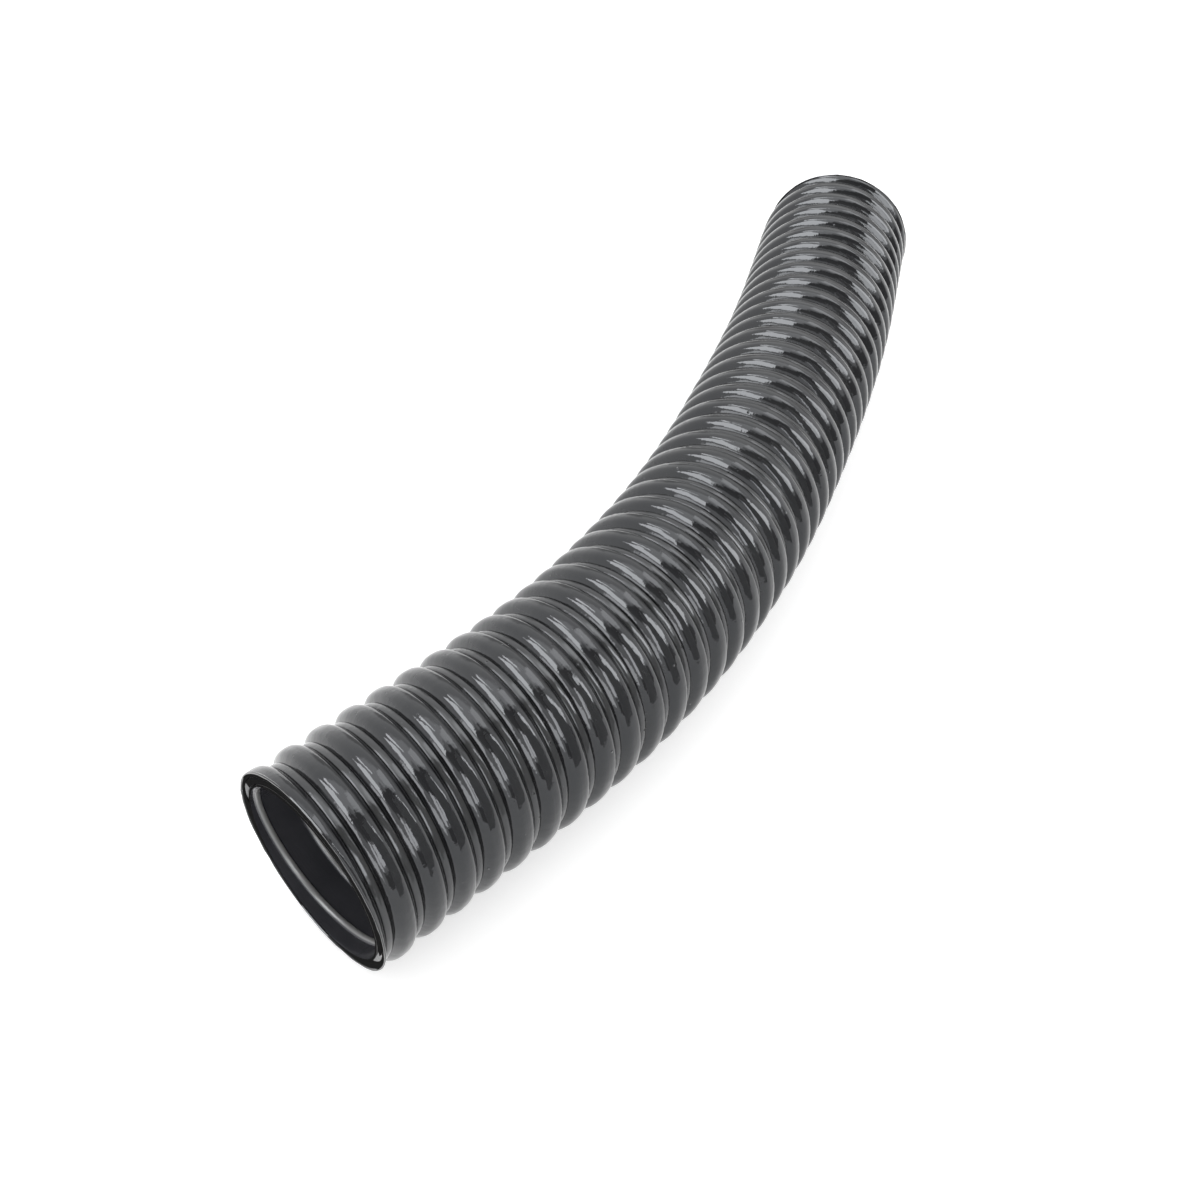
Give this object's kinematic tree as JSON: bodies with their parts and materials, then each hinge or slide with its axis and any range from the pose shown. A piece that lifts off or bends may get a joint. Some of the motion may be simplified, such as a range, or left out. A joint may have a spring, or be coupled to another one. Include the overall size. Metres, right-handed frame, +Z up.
{
  "type": "vacuum hose",
  "caption": "Short cut length of black ribbed flexible vacuum hose with a smooth open bore, a reinforcing helix in its wall and square-cut bare ends, lying in a gentle bend.",
  "frame": {"origin": "on the ground under the middle of the hose's bounding box", "axes": "+X runs along the chord of the bend from the near cut end to the far cut end, +Z is up, and both ends are bent a little towards +Y"},
  "size_m": [0.3812, 0.0915, 0.0595],
  "materials": {
    "cover": "glossy black flexible PVC",
    "bead": "glossy black welded bead, a little duller than the ribs",
    "helix": "satin dark grey rigid PVC",
    "liner": "semi-gloss black flexible PVC"
  },
  "bodies": {
    "root": {"outer_cover": "cover", "seam_bead": "bead", "reinforcing_helix": "helix", "inner_liner": "liner"}
  },
  "joints": []
}
